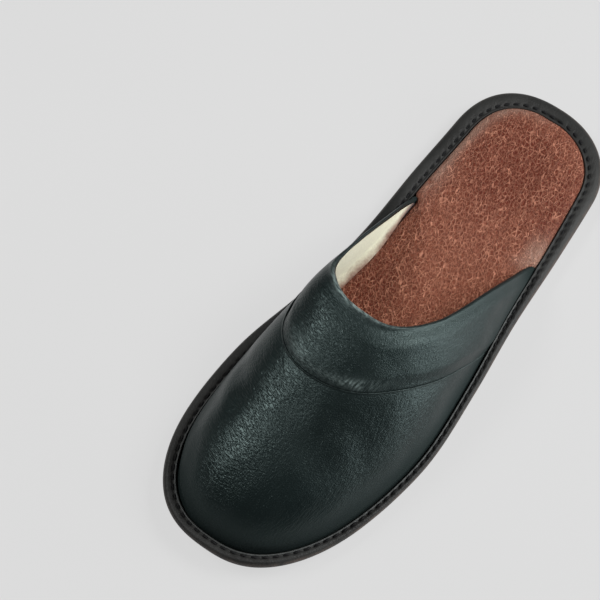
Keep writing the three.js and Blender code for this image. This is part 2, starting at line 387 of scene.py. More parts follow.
class Finish:
    """The node tree of one material."""

    def __init__(self, name):
        self.material = bpy.data.materials.new(name)
        self.material.use_nodes = True
        self.tree = self.material.node_tree
        self.tree.nodes.clear()
        self.output = self.tree.nodes.new("ShaderNodeOutputMaterial")

    def add(self, kind, settings=None, inputs=None, output=None):
        """One node, as the wire from its first output or from the one named."""
        links = {k: v.socket if isinstance(v, Wire) else v for k, v in (inputs or {}).items()}
        node = add_node(self.tree, kind, settings, links)
        return Wire(self, next(s for s in node.outputs if s.enabled and output in (None, s.name)))

    def place(self):
        return self.add("ShaderNodeTexCoord", output="Object")

    def height(self):
        """Height above the floor in millimetres."""
        return self.add("ShaderNodeSeparateXYZ", inputs={0: self.place()}, output="Z") / MM

    def stretched(self, turn, along, up=1.0):
        """Object coordinates turned and drawn out, for a pattern with a run of its own."""
        inputs = {"Vector": self.place(), "Rotation": turn, "Scale": (along, 1.0, up)}
        return self.add("ShaderNodeMapping", {"vector_type": "TEXTURE"}, inputs)

    def noise(self, scale, detail=2.0, rough=0.5, twist=0.0, at=None):
        inputs = {
            "Vector": at or self.place(),
            "Scale": scale,
            "Detail": detail,
            "Roughness": rough,
            "Distortion": twist,
        }
        return self.add("ShaderNodeTexNoise", inputs=inputs)

    def cells(self, scale, at, feature="DISTANCE_TO_EDGE"):
        inputs = {"Vector": at, "Scale": scale}
        return self.add("ShaderNodeTexVoronoi", {"feature": feature}, inputs, "Distance")

    def vector(self, operation, inputs):
        return self.add("ShaderNodeVectorMath", {"operation": operation}, inputs, "Vector")

    def warped(self, amount, scale, at=None):
        """Coordinates pushed about by noise, so that a pattern loses its regularity."""
        at = at or self.place()
        noise = {"Vector": at, "Scale": scale, "Detail": 1.0}
        drift = self.add("ShaderNodeTexNoise", None, noise, "Color")
        pushed = self.vector("SUBTRACT", {0: drift, 1: (0.5, 0.5, 0.5)})
        return self.vector("ADD", {0: at, 1: self.vector("SCALE", {0: pushed, "Scale": amount})})

    def mark(self, name):
        return self.add("ShaderNodeAttribute", {"attribute_name": name}, output="Fac")

    def mixed(self, amount, low, high):
        inputs = {"Factor": amount, "A": low, "B": high}
        return self.add("ShaderNodeMix", {"data_type": "RGBA"}, inputs, "Result")

    def bumped(self, height, depth):
        return self.add("ShaderNodeBump", None, {"Height": height, "Distance": depth, "Strength": 1.0})

    def close(self, **sockets):
        """The surface shader, from its sockets' names in words joined by underscores."""
        names = {key: key.replace("_", " ").title().replace("Ior", "IOR") for key in sockets}
        inputs = {names[key]: value for key, value in sockets.items()}
        shader = self.add("ShaderNodeBsdfPrincipled", None, inputs)
        self.tree.links.new(shader.socket, self.output.inputs["Surface"])
        return self.material


def shade(colour, factor=1.0):
    """A colour of the palette made lighter or darker, as a socket takes it."""
    return tuple(min(1.0, c * factor) for c in colour[:3]) + (1.0,)


def drawn_grain(finish, cell, run, wrinkle):
    """Fine pebbles under short wavy wrinkles, both drawn out along one run of the hide."""
    pebble = finish.cells(1.3 / cell, finish.warped(0.0003, 700.0, finish.stretched(run, 1.5)))
    folds = finish.noise(1.4 / cell, 1.0, 0.4, 0.2, finish.stretched(run, 5.0))
    pebbles = pebble.step(0.0, 0.3) * (0.17 - wrinkle * 0.13)
    return pebbles + folds.step(0.36, 0.64) * (wrinkle * 0.56 + 0.1)


# How the hide's wrinkles run on the inner and on the outer side of the upper
INNER_RUN = (0.0, math.radians(-17), math.radians(64))
OUTER_RUN = (0.0, math.radians(19), math.radians(-12))


def upper_leather(colours, sizes, name, cell):
    """Green-black waxed leather, wrinkled, with painted highlights on its worn rim and seam, and dull
    beside the rand.
    """
    f = Finish(name)
    wrinkle, inner = f.mark("wrinkle"), f.mark("inner")

    def both_sides(pattern):
        return pattern(INNER_RUN) * inner + pattern(OUTER_RUN) * (1 - inner)

    def scuff_and_glint_strokes(run):
        return f.noise(1000.0, 2.0, 0.6, 0.4, f.stretched(run, 3.6)).step(0.36, 0.62, 0.12, 1.0)

    grain = both_sides(lambda run: drawn_grain(f, cell, run, wrinkle)) + f.noise(2400.0, 2.0, 0.6) * 0.06
    wear = f.noise(38.0, 3.0, 0.6)
    mottle = f.noise(9.0, 2.0, 0.5)
    dye = f.mixed(mottle.step(0.35, 0.65), shade(colours.leather, 0.8), shade(colours.leather, 1.2))
    dye = f.mixed(grain.step(0.2, 0.9) * 0.35, dye, shade(colours.leather_wear))
    # Painted highlight, partly real wear: lighter colour on the collar roll, the seam fold and the band's
    # puff, broken into strokes
    dye = f.mixed(f.mark("rub") * both_sides(scuff_and_glint_strokes), dye, shade(colours.leather_rub))
    rough = wear.step(0.3, 0.7, sizes.leather_gloss - 0.03, sizes.leather_gloss + 0.05)
    rough = rough - grain.step(0.2, 0.9) * 0.05 + (1 - f.height().step(12.0, 30.0)) * 0.62
    return f.close(
        base_color=dye,
        roughness=rough,
        normal=f.bumped(grain, sizes.grain_depth),
        specular_ior_level=0.38,
        specular_tint=shade(colours.leather_sheen),
    )


def rand_leather(colours, sizes):
    """Smooth rand strip: dark top, lighter brown towards the sole, a painted highlight along its fold and
    painted shade in its stitch holes.
    """
    f = Finish("rand_leather_worn")
    fine = f.noise(1500.0, 3.0, 0.6)
    pebble = f.cells(1 / sizes.grain_cell * 1.2, f.warped(0.0005, 700.0), "SMOOTH_F1")
    patch = f.noise(30.0, 3.0, 0.55)
    dye = f.mixed(patch.step(0.35, 0.65), shade(colours.rand, 0.75), shade(colours.rand, 1.3))
    # Lighter brown towards the rand's lower edge, most on the outer side
    edge = f.mark("edge") * f.noise(160.0, 3.0, 0.6).step(0.25, 0.7)
    dye = f.mixed(edge * 0.95, dye, shade(colours.rand_edge))
    # Painted highlight along the ridge of the fold, broken by fine noise
    dye = f.mixed(f.mark("fold") * fine.step(0.3, 0.6, 0.5, 1.0), dye, shade(colours.rand_fold))
    # Painted shade in the stitch holes, darker than the thread
    dye = f.mixed(f.mark("hole") * 0.55, dye, shade(colours.thread, 0.5))
    rough = patch.step(0.3, 0.7, 0.45, 0.56) + f.mark("hole") * 0.5
    normal = f.bumped(pebble * 0.5 + fine * 0.5, sizes.grain_depth)
    return f.close(base_color=dye, roughness=rough, normal=normal, specular_ior_level=0.2)


def insole_leather(colours, sizes):
    """Red-brown crackled leather, paler here and there along its rolled edge, with painted shade at its
    outer heel edge and inner waist.
    """
    f = Finish("insole_leather_crackled")
    run = (0.0, 0.0, math.radians(12))
    cell = sizes.crackle_cell
    crackle = f.cells(1 / cell, f.warped(0.0016, 420.0, f.stretched(run, 1.7)))
    small = f.cells(1.65 / cell, f.warped(0.0012, 650.0, f.stretched(run, 2.0)))
    streak = f.noise(300.0, 3.0, 0.65, 0.8, f.stretched(run, 3.0))
    shown = streak.step(0.38, 0.6, 0.1, 1.0)
    pits = f.noise(1300.0, 2.0, 0.6, 0.0, f.stretched(run, 1.8))
    hollow = 1 - pits.step(0.38, 0.52)
    net = (1 - crackle.step(0.02, 0.14)) * shown
    web = (1 - small.step(0.02, 0.16)) * (1 - shown * 0.6) * pits.step(0.36, 0.58, 0.35, 1.0)
    relief = (net * 0.95).math("MAXIMUM", web * 0.8) + pits.step(0.55, 0.7) * 0.25
    patch = f.noise(24.0, 3.0, 0.55)
    # Darker red from random tone and from the deep mark, which holds painted shade at the outer heel edge
    # and inner waist
    tone_and_shade = patch * 0.5 + f.mark("deep")
    dye = f.mixed(tone_and_shade.step(0.3, 1.1), shade(colours.insole, 1.3), shade(colours.insole_valley, 1.8))
    dye = f.mixed(hollow * 0.75, dye, shade(colours.insole_valley))
    ridge = relief.clamped() * (0.9 - f.mark("deep") * 0.25)
    dye = f.mixed(ridge, dye, shade(colours.insole_ridge))
    pale = f.mark("pale") * (patch * 0.8 + streak * 0.9).step(0.62, 1.0, 0.12, 1.0)
    dye = f.mixed(pale * 0.62, dye, shade(colours.insole_edge))
    rough = relief.step(0.0, 0.9, 0.62, 0.42)
    normal = f.bumped(relief * 0.8 + pits * 0.5, sizes.crackle_depth)
    return f.close(base_color=dye, roughness=rough, normal=normal, specular_ior_level=0.16)


def lining_cloth(colours):
    """Cream brushed textile that turns the insole's colour where it meets it."""
    f = Finish("lining_textile_cream")
    warp = f.noise(2200.0, 1.0, 0.5, 0.0, f.stretched((0, 0, 0), 4.0))
    weft = f.noise(2200.0, 1.0, 0.5, 0.0, f.stretched((0, 0, 0), 1.0, 4.0))
    fuzz = f.noise(800.0, 4.0, 0.65)
    ragged = f.noise(75.0, 3.0, 0.65) * 7.0 + fuzz * 3.0 - 5.0
    level = f.mark("level") + ragged
    dye = f.mixed(fuzz.step(0.3, 0.7), shade(colours.lining, 0.93), shade(colours.lining, 1.04))
    dye = f.mixed(1 - level.step(7.0, 13.0), dye, shade(colours.lining_soil))
    dye = f.mixed(1 - level.step(5.0, 9.0), dye, shade(colours.insole, 0.85))
    normal = f.bumped(warp * 0.5 + weft * 0.5 + fuzz * 0.4, 0.00018)
    return f.close(base_color=dye, roughness=0.85, normal=normal, specular_ior_level=0.2, sheen_weight=0.2)


def sole_rubber(colours):
    """Brown-black rubber with moulding flecks and a dusty tread."""
    f = Finish("sole_rubber_brown")
    speck = f.noise(1800.0, 3.0, 0.65)
    patch = f.noise(45.0, 4.0, 0.6)
    dye = f.mixed(patch.step(0.3, 0.7), shade(colours.sole, 0.7), shade(colours.sole, 1.35))
    scuff = (1 - f.height().step(0.4, 2.5)) * f.noise(120.0, 5.0, 0.7).step(0.45, 0.7)
    dye = f.mixed(scuff * 0.5, dye, shade(colours.sole_dust))
    dye = f.mixed(speck.step(0.6, 0.75) * 0.4, dye, shade(colours.sole_dust, 0.7))
    rough = patch.step(0.3, 0.7, 0.62, 0.78)
    normal = f.bumped(speck + patch * 0.6, 0.00012)
    return f.close(base_color=dye, roughness=rough, normal=normal, specular_ior_level=0.4)


def thread_wax(colours):
    """Black waxed thread, twisted."""
    f = Finish("thread_waxed_black")
    twist = f.noise(3200.0, 2.0, 0.5, 1.5)
    dye = f.mixed(twist, shade(colours.thread, 0.6), shade(colours.thread, 1.6))
    normal = f.bumped(twist, 0.0001)
    return f.close(base_color=dye, roughness=0.7, normal=normal, specular_ior_level=0.15)


# ---------------------------------------------------------------- settings

def amount(name, description, default, **kind):
    return bpy.props.FloatProperty(name=name, description=description, default=default, **kind)


def length(name, description, default):
    return amount(name, description, default, unit="LENGTH", subtype="DISTANCE", precision=5)


def angle(name, description, degrees):
    return amount(name, description, math.radians(degrees), unit="ROTATION", subtype="ANGLE")


def colour(name, description, *rgb):
    return bpy.props.FloatVectorProperty(
        name=name, description=description, default=rgb, size=3, min=0.0, max=1.0, subtype="COLOR"
    )


class SlipperSizes(bpy.types.PropertyGroup):
    """Sizes of the slipper's details"""

    skin: length("Leather", "Thickness of the upper's leather", 0.00115)
    rim_out: length("Rim outside", "How far the collar roll stands out from the last", 0.0006)
    rim_in: length("Rim inside", "How far the collar roll reaches in from the last", 0.0031)
    rim_reach: length("Rim roll", "How far the collar roll stands back over the wall", 0.0011)
    turn_in: length("Turn-in", "How far the collar leather runs down inside", 0.0016)
    band_belly: length("Band fullness", "How far the padded band swells between rim and seam", 0.0013)
    band_proud: length("Band height", "How far the band stands over the vamp", 0.0006)
    trough: length("Rim trough", "Depth of the hollow behind the collar roll", 0.00045)
    bead: length("Seam fold", "How far the folded edge of the vamp stands up", 0.00035)
    pucker: length("Seam puckers", "Height of the gathers along the cross seam", 0.0003)
    feather: length("Feather line", "How far the upper draws in behind the rand", 0.0007)
    stitch_pitch: length("Stitch pitch", "Distance from stitch to stitch on the rand", 0.0047)
    stitch_length: length("Stitch length", "Length of one visible stitch", 0.0026)
    thread: length("Thread", "Thickness of the rand's thread", 0.0011)
    stitch_inset: length("Stitch line", "Distance of the stitches outside the rand's fold", 0.0016)
    grain_cell: length("Grain", "Size of the upper leather's pebbles", 0.001)
    grain_depth: length("Grain depth", "Depth of the upper leather's grain", 0.00028)
    crackle_cell: length("Crackle", "Size of the insole leather's crackle", 0.0018)
    crackle_depth: length("Crackle depth", "Depth of the insole leather's crackle", 0.001)
    leather_gloss: amount("Leather roughness", "Roughness of the upper's leather", 0.36)


class SlipperColours(bpy.types.PropertyGroup):
    """Colours of the slipper's materials"""

    leather: colour("Leather", "Green-black of the upper", 0.0022, 0.0045, 0.0046)
    leather_wear: colour("Leather wear", "Leather where the grain is rubbed", 0.008, 0.014, 0.0137)
    # Painted highlight, partly real wear, on the collar roll, the seam fold and the band's puff
    leather_rub: colour("Rubbed edges", "Worn collar roll and seam fold", 0.17, 0.215, 0.208)
    leather_sheen: colour("Leather sheen", "Tint of the upper's gloss", 0.76, 1.0, 0.97)
    rand: colour("Rand", "Rand strip", 0.0205, 0.0207, 0.0197)
    # Painted highlight on the ridge of the rand's fold
    rand_fold: colour("Rand fold", "Fold of the rand against the upper", 0.085, 0.09, 0.088)
    # Lighter brown towards the rand's lower edge
    rand_edge: colour("Rand edge", "Rubbed lower edge of the rand", 0.085, 0.064, 0.054)
    insole: colour("Insole", "Red-brown of the insole", 0.148, 0.042, 0.0235)
    insole_valley: colour("Insole valleys", "Dark red between the ridges", 0.065, 0.011, 0.005)
    insole_ridge: colour("Insole ridges", "Light ridges of the crackle", 0.54, 0.235, 0.15)
    # Paler colour along the insole's rolled edge
    insole_edge: colour("Insole edge", "Pale rubbed edge", 0.34, 0.225, 0.175)
    lining: colour("Lining", "Cream textile", 0.73, 0.73, 0.56)
    lining_soil: colour("Lining soil", "Lining beside the insole", 0.3, 0.22, 0.17)
    sole: colour("Sole", "Brown-black rubber", 0.016, 0.012, 0.01)
    sole_dust: colour("Sole dust", "Dust and scuffs on the sole", 0.09, 0.07, 0.055)
    thread: colour("Thread", "Black thread", 0.0065, 0.0065, 0.007)
    floor: colour("Floor", "Pale floor", 0.73, 0.73, 0.73)


class SlipperStage(bpy.types.PropertyGroup):
    """Camera and light"""

    azimuth: angle("Azimuth", "Direction of the camera round the shoe", 121.14)
    elevation: angle("Elevation", "Height of the camera above the floor", 66.43)
    roll: angle("Roll", "Turn of the camera about its own line", 3.54)
    distance: length("Distance", "From the camera to the point it looks at", 0.8739)
    lens: amount("Focal length", "Focal length in millimetres on a 36 mm sensor", 114.4)
    medial_light: amount("Inner light", "Power of the softbox at the inner side, in watts", 5.0)
    lateral_light: amount("Outer light", "Power of the softbox at the outer side, in watts", 6.0)
    key_light: amount("Key light", "Power of the softbox behind the heel, in watts", 14.0)
    world_light: amount("Surrounding light", "Strength of the even light all round", 0.09)
    floor_glow: amount("Floor glow", "Share of the floor's brightness that no shadow dims", 0.86)


# ---------------------------------------------------------------- pieces

OUTSOLE_PROFILE = (
    # share of the way from the tread up to the deck, inset from the sole's widest line
    (0, 3.4), (0.06, 2.6), (0.18, 1.7), (0.35, 1.15), (0.6, 0.7), (0.78, 0.5), (0.9, 0.5), (1, 0.9),
)
FLAT_CAP = np.array([0, 0.5, 1])


def sole_turns():
    """Places round the sole, with a row at each wall of each groove."""
    first = OUTSOLE_PROFILE[0][1]
    last = SOLE_LENGTH - first
    shares = list((1 - np.cos(np.linspace(0, np.pi, 181))) / 2)
    for x in GROOVES:
        shares += [
            (x + side * (GROOVE["half"] + off) - first) / (last - first)
            for side in (-1, 1)
            for off in (-0.25, 0.0, 0.2)
        ]
    shares = np.unique(np.round(shares, 5))
    keep = np.concatenate([[True], np.diff(shares) > 2e-4])
    keep[-1] = True
    turns = np.arccos(1 - 2 * shares[keep])
    turns[0], turns[-1] = 0.0, np.pi
    return np.concatenate([turns, 2 * np.pi - turns[-2:0:-1]]), len(turns)


def rungs_across(ring, half, shares):
    """Grid of points across a ring, from its inner side to its outer side."""
    back = np.concatenate([ring[:1], ring[half:][::-1], ring[half - 1 : half]])
    return ring[:half, None] + (back - ring[:half])[:, None] * shares[None, :, None]


def tread_relief(x, y):
    """Depth of the tread's grooves and fine ribs at a place on the underside."""
    low, high = outline_y(x, -1, GROOVE["border"]), outline_y(x, 1, GROOVE["border"])
    inside = smoothstep(y, low - 0.5, low + 0.5) * (1 - smoothstep(y, high - 0.5, high + 0.5))
    depth = np.zeros_like(x)
    zone = np.zeros_like(x)
    for place in GROOVES:
        wall = 1 - smoothstep(np.abs(x - place), GROOVE["half"] - 0.3, GROOVE["half"] + 0.15)
        depth = np.maximum(depth, wall * GROOVE["depth"])
        zone = np.maximum(zone, 1 - smoothstep(np.abs(x - place), 5.5, 6.5))
    ribs = 0.22 * (0.5 - 0.5 * np.cos(2 * np.pi * y / 3.2)) * zone * (depth < 0.05)
    channel = 0.35 * hump(np.minimum(y - low, high - y), -3.0, 0.7)
    return inside * np.maximum(depth, ribs) + channel


def build_outsole(colours):
    turns, half = sole_turns()
    rings = [
        ring_at(
            turns,
            lambda x, side: float(spline(OUTSOLE_PROFILE, share)),
            lambda x, side: tread_z(x) + (deck_z(x) - tread_z(x)) * share,
        )
        for share in np.linspace(0, 1, 15)
    ]
    across = (1 - np.cos(np.linspace(0, np.pi, 97))) / 2 * 0.25 + np.linspace(0, 1, 97) * 0.75
    under = rungs_across(rings[0], half, across)
    x, y = under[..., 0], under[..., 1]
    edge = smoothstep(np.minimum(across, 1 - across), 0.0, 0.02)[None, :]
    under[..., 2] = tread_z(x) + tread_relief(x, y) * edge
    deck = rungs_across(rings[-1], half, FLAT_CAP)
    piece = slab_of("outsole_moulded", np.stack(rings), (under, deck), 38)
    finish_piece(piece, sole_rubber(colours), "sole_rubber", "outsole")


STEPS_PER_STITCH = 12
STITCH_RISE = 3.95


def stitch_place(sizes, x):
    """How far outside the rand's inner edge the stitches run: farther round the heel."""
    return sizes.stitch_inset / MM + 0.7 * (1 - smoothstep(x, 70, 110))


def stitch_ring(sizes, turns):
    """The line that the rand's stitches follow."""
    return ring_at(
        turns,
        lambda x, side: fold_inset(x, side) - stitch_place(sizes, x),
        lambda x, side: deck_z(x) + STITCH_RISE,
    )


def even_turns(sizes):
    """Places round the shoe at even steps of the stitch line, with how many stitches fit it."""
    fine = np.linspace(0, 2 * np.pi, 6001)
    run = run_along(stitch_ring(sizes, fine))
    count = round(run[-1] * MM / sizes.stitch_pitch)
    steps = np.arange(count * STEPS_PER_STITCH) / (count * STEPS_PER_STITCH) * run[-1]
    return np.interp(steps, run, fine), count


RAND_SECTION = (
    # share of the way in from the outer edge, set-back from there, height over the deck
    (0.0, -0.35, 0.3),
    (0.0, -0.12, 0.9),
    (0.0, 0.0, 1.6),
    (0.03, 0.05, 2.3),
    (0.1, 0.16, 3.05),
    (0.2, 0.32, 3.7),
    (0.34, 0.54, 4.15),
    (0.5, 0.8, 4.35),
    (0.66, 1.05, 4.35),
    (0.82, 1.3, 4.25),
    (0.93, 1.75, 4.15),
    (1.0, 1.75, 4.0),
    (1.0, 1.45, 3.9),
    (1.0, 1.15, 4.0),
    (1.0, 0.85, 4.4),
    (1.0, 0.55, 4.55),
    (1.0, 0.2, 4.3),
    (1.0, 0.05, 3.8),
    (1.0, 0.0, 2.4),
    (1.0, 0.0, 0.3),
)


def rand_rows(count):
    """The rand's section at even steps, as share, set-back and height."""
    section = np.array(RAND_SECTION)
    run = run_along(section * np.array([6.0, 1.0, 1.0]))
    at = np.linspace(0, run[-1], count)
    return [spline(tuple(zip(run, section[:, k])), at) for k in range(3)]


def build_rand(sizes, colours):
    turns, _ = even_turns(sizes)
    pulled = 0.5 + 0.5 * np.cos(2 * np.pi * np.arange(len(turns)) / STEPS_PER_STITCH)
    share, back, up = rand_rows(52)
    rings, hole_shades = [], []
    for a, b, h in zip(share, back, up):
        ring = ring_at(turns, lambda x, side: a * fold_inset(x, side) - b, lambda x, side: deck_z(x) + h)
        hole = np.zeros(len(turns))
        if h > 2.5:
            out = fold_inset(ring[:, 0], np.where(turns <= np.pi, -1, 1)) * (1 - a) + b
            stitch = stitch_place(sizes, ring[:, 0])
            ring[:, 2] -= 0.5 * hump(out, stitch, 0.65) * smoothstep(pulled, 0.25, 0.75)
            ring[:, 2] += 0.1 * hump(out, stitch - 1.0, 0.5) * (0.5 - pulled)
            ring[:, 2] += 0.1 * hump(out, stitch + 1.3, 1.0) * (0.5 - pulled)
            # Where painted shade darkens each stitch hole
            hole = hump(out, stitch, 0.75) * smoothstep(pulled, 0.35, 0.7) * (a < 1.0 or b > 1.0)
        rings.append(ring)
        hole_shades.append(hole)
    grid = np.stack(rings)
    edge = (1 - smoothstep(up, 2.2, 4.2)) * (share < 0.5)
    # Where the fold's ridge gets its painted highlight
    fold = hump(back, 0.75, 0.32) * (up > 4.2) * (share > 0.97)
    marks = {
        "edge": edge[:, None] * np.where(turns <= np.pi, 0.45, 1.0),
        "fold": fold[:, None] * smoothstep(grid[..., 0], 82, 104),
        "hole": hole_shades,
    }
    quads = grid_quads(len(up), len(turns), wrap_rows=True, wrap_columns=True)
    piece = make_piece("rand_rolled", grid, quads, 60, marks)
    finish_piece(piece, rand_leather(colours, sizes), "rand_leather", "rand")


def stitch_tree():
    """Geometry nodes: one sunk arc of thread at each even step of a closed path."""
    tree = bpy.data.node_groups.new("thread_stitches", "GeometryNodeTree")
    sockets = {}
    for name, kind, default in (
        ("Path", "NodeSocketGeometry", None),
        ("Count", "NodeSocketInt", 100),
        ("Stitch Length", "NodeSocketFloat", 0.0036),
        ("Thread", "NodeSocketFloat", 0.0008),
        ("Rise", "NodeSocketFloat", 0.0006),
        ("Seed", "NodeSocketInt", 7),
        ("Material", "NodeSocketMaterial", None),
    ):
        item = tree.interface.new_socket(name, in_out="INPUT", socket_type=kind)
        if default is not None:
            item.default_value = default
        sockets[name] = item.identifier
    tree.interface.new_socket("Stitches", in_out="OUTPUT", socket_type="NodeSocketGeometry")
    given = tree.nodes.new("NodeGroupInput").outputs

    def node(kind, settings=None, inputs=None):
        made = add_node(tree, kind, settings, inputs)
        return next(s for s in made.outputs if s.enabled)

    def times(value, factor):
        return node("ShaderNodeMath", {"operation": "MULTIPLY"}, {0: value, 1: factor})

    half = times(given["Stitch Length"], 0.5)
    ends = [
        node("ShaderNodeCombineXYZ", None, {"X": times(half, way), "Z": times(given["Rise"], -0.75)})
        for way in (-1.0, 1.0)
    ]
    middle = node("ShaderNodeCombineXYZ", None, {"Z": times(given["Rise"], 1.25)})
    arc = node(
        "GeometryNodeCurveQuadraticBezier",
        None,
        {"Resolution": 8, "Start": ends[0], "Middle": middle, "End": ends[1]},
    )
    ring = node(
        "GeometryNodeCurvePrimitiveCircle",
        {"mode": "RADIUS"},
        {"Resolution": 8, "Radius": times(given["Thread"], 0.5)},
    )
    thread = node(
        "GeometryNodeCurveToMesh", None, {"Curve": arc, "Profile Curve": ring, "Fill Caps": True}
    )
    path = node("GeometryNodeMeshToCurve", None, {"Mesh": given["Path"]})
    places = node(
        "GeometryNodeResampleCurve", {"mode": "COUNT"}, {"Curve": path, "Count": given["Count"]}
    )
    ahead = node(
        "FunctionNodeAlignRotationToVector", {"axis": "X"}, {"Vector": node("GeometryNodeInputTangent")}
    )
    upright = node(
        "FunctionNodeAlignRotationToVector",
        {"axis": "Z", "pivot_axis": "X"},
        {"Rotation": ahead, "Vector": (0.0, 0.0, 1.0)},
    )
    swing = node(
        "FunctionNodeRandomValue",
        {"data_type": "FLOAT_VECTOR"},
        {"Min": (-0.05, -0.05, -0.09), "Max": (0.05, 0.05, 0.09), "Seed": given["Seed"]},
    )
    turn = node("FunctionNodeEulerToRotation", None, {0: swing})
    turned = node(
        "FunctionNodeRotateRotation",
        {"rotation_space": "LOCAL"},
        {"Rotation": upright, "Rotate By": turn},
    )
    size = node(
        "FunctionNodeRandomValue",
        {"data_type": "FLOAT_VECTOR"},
        {"Min": (0.9, 0.92, 0.92), "Max": (1.06, 1.06, 1.06), "Seed": given["Seed"]},
    )
    placed = node(
        "GeometryNodeInstanceOnPoints",
        None,
        {"Points": places, "Instance": thread, "Rotation": turned, "Scale": size},
    )
    real = node("GeometryNodeRealizeInstances", None, {"Geometry": placed})
    smooth = node("GeometryNodeSetShadeSmooth", None, {0: real})
    coated = node("GeometryNodeSetMaterial", None, {"Geometry": smooth, "Material": given["Material"]})
    out = tree.nodes.new("NodeGroupOutput")
    tree.links.new(coated, out.inputs[0])
    return tree, sockets


def realized(name, line, tree, sockets, values):
    """Runs a node tree on a closed line and keeps its result as a plain mesh."""
    path = bpy.data.meshes.new(name + "_path")
    count = len(line)
    points = (line + SHIFT) * MM
    path.from_pydata([tuple(p) for p in points], [(i, (i + 1) % count) for i in range(count)], [])
    carrier = linked(name + "_path", path)
    modifier = carrier.modifiers.new("stitches", "NODES")
    modifier.node_group = tree
    for key, value in values.items():
        modifier[sockets[key]] = value
    bpy.context.view_layer.update()
    graph = bpy.context.evaluated_depsgraph_get()
    mesh = bpy.data.meshes.new_from_object(carrier.evaluated_get(graph), depsgraph=graph)
    mesh.name = name
    bpy.data.objects.remove(carrier)
    if not mesh.polygons:
        raise RuntimeError(f"{name} came out empty")
    return linked(name, mesh)


def build_stitches(sizes, colours):
    turns, count = even_turns(sizes)
    thread = thread_wax(colours)
    values = {
        "Count": count,
        "Stitch Length": sizes.stitch_length,
        "Thread": sizes.thread,
        "Material": thread,
    }
    piece = realized("rand_stitches", stitch_ring(sizes, turns), *stitch_tree(), values)
    finish_piece(piece, thread, "rand_leather")


def pad_edge(x, side):
    """Inset of the insole's own edge: it draws in where the upper's wall laps it."""
    return fold_inset(x, side) + GAP + smoothstep(x, *LAP) * (WALL + 2 * GAP)


PAD_SECTION = (
    # run along the section, inset, height over the deck
    (0.0, 0.3, 0.3),
    (0.6, 0.0, 0.9),
    (2.2, 0.0, 2.6),
    (3.6, 0.0, 4.0),
    (5.2, 0.55, 5.35),
    (6.9, 1.9, 6.3),
    (9.5, 4.4, 6.85),
    (13.0, 7.8, 7.15),
    (18.5, 13.0, 7.5),
)


def deep_and_shade_places(x, y):
    """Where the insole is darker red: under the heel, and with painted shade along its outer heel edge and
    at the inner waist beside the wall; a little paler in the middle.
    """
    deep = 0.8 * hump(x, 44, 24) * hump(y, -1, 20) + 0.6 * hump(x, 132, 26) * hump(y, -22, 11)
    rubbed = 0.3 * hump(x, 108, 18) * hump(y, 8, 16)
    # Painted shade along the outer heel edge
    deep = deep + 0.5 * smoothstep(y, 21, 30) * (1 - smoothstep(x, 60, 76))
    return np.clip(0.3 + deep - rubbed, 0, 1)


def pale_edge(x, y, from_edge):
    """Where the insole is paler: along its rolled edge, and more beside the two wings."""
    edge = np.where(y > 0, 0.1, 0.9) * smoothstep(x, 6, 18) * (1 - smoothstep(from_edge, 0.5, 6.0))
    wings = np.where(y > 0, hump(x, 77, 10), 0.7 * hump(x, 72, 15))
    wings = wings * (1 - smoothstep(from_edge, 3.0, 12.0))
    inner = 0.6 * hump(x, 30, 16) * (y < 0) * (1 - smoothstep(from_edge, 2.0, 9.0))
    return np.clip(edge * (1 - 0.7 * smoothstep(x, 82, 96)) + wings + inner, 0, 1)


def build_insole(sizes, colours):
    half = 240
    turns = np.pi * np.arange(2 * half) / half
    at = np.linspace(0, PAD_SECTION[-1][0], 24)
    insets = spline([(a, b) for a, b, _ in PAD_SECTION], at)
    ups = spline([(a, c) for a, _, c in PAD_SECTION], at)
    rings = [
        ring_at(turns, lambda x, side: pad_edge(x, side) + inset, lambda x, side: deck_z(x) + up)
        for inset, up in zip(insets, ups)
    ]
    wall = np.stack(rings)
    across = np.linspace(0, 1, 81)
    top = rungs_across(rings[-1], half + 1, across)
    x, y = top[..., 0], top[..., 1]
    low, high = y[:, :1], y[:, -1:]
    middle = (low + high) / 2
    from_side = np.minimum(across, 1 - across) * (high - low)
    relief = 0.55 * smoothstep(from_side, 4, 34)
    relief -= 0.95 * hump(x, 42, 24) * hump(y, middle + 1.0, 19)
    relief -= 0.5 * hump(x, 205, 28) * hump(y, middle, 26)
    relief += 0.35 * hump(x, 108, 26) * hump(y, low + 6, 14)
    top[..., 2] += relief * smoothstep(from_side, 0, 12)
    base = rungs_across(rings[0], half + 1, FLAT_CAP)
    pale = (
        pale_edge(wall[..., 0], wall[..., 1], insets[:, None]),
        pale_edge(x, y, 13 + np.minimum(from_side, 30)),
        np.zeros(base.shape[:2]),
    )
    deep = (deep_and_shade_places(grid[..., 0], grid[..., 1]) for grid in (wall, top, base))
    marks = {
        "pale": np.concatenate([mark.ravel() for mark in pale]),
        "deep": np.concatenate([mark.ravel() for mark in deep]),
    }
    piece = slab_of("insole_pad", wall, (top, base), 50, marks)
    finish_piece(piece, insole_leather(colours, sizes), "insole_leather", "insole")


